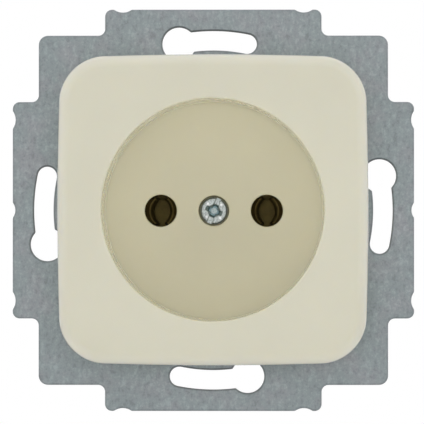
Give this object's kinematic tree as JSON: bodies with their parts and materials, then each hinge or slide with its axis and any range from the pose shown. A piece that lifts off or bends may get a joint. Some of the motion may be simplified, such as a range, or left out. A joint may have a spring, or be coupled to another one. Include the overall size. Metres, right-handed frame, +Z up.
{
  "type": "two-pin recessed wall socket insert",
  "caption": "Flush wall socket insert with a cream recessed plate, pin holes, a sheet steel support frame and an insulating base with screw terminals; no earth contacts.",
  "frame": {"origin": "on the axis of the plug recess, in the plane of the support frame's back, which lies on the wall", "axes": "+Y points into the wall, +X to the right and +Z up as seen from the room"},
  "size_m": [0.071, 0.041, 0.071],
  "materials": {
    "plate_plastic": "soft gloss, cream",
    "galvanised_sheet": "galvanised, matt with faint spangle",
    "zinc_screw": "bright zinc plating",
    "contact_bronze": "dull rolled strip",
    "nut_brass": "turned",
    "base_plastic": "moulded, matt dark grey",
    "cover_plastic": "moulded, matt grey"
  },
  "bodies": {
    "root": {"centre_plate": "plate_plastic", "plate_screw": "zinc_screw", "plate_nut": "nut_brass", "support_frame": "galvanised_sheet", "socket_base": "base_plastic", "contact_left": "contact_bronze", "contact_right": "contact_bronze", "rear_cover": "cover_plastic", "rear_cover_screw": "zinc_screw", "frame_rivet_1": "zinc_screw", "terminal_screw_1": "zinc_screw", "terminal_clamp_1": "zinc_screw", "frame_rivet_2": "zinc_screw", "terminal_screw_2": "zinc_screw", "terminal_clamp_2": "zinc_screw", "frame_rivet_3": "zinc_screw", "terminal_screw_3": "zinc_screw", "terminal_clamp_3": "zinc_screw", "frame_rivet_4": "zinc_screw", "terminal_screw_4": "zinc_screw", "terminal_clamp_4": "zinc_screw"}
  },
  "joints": []
}
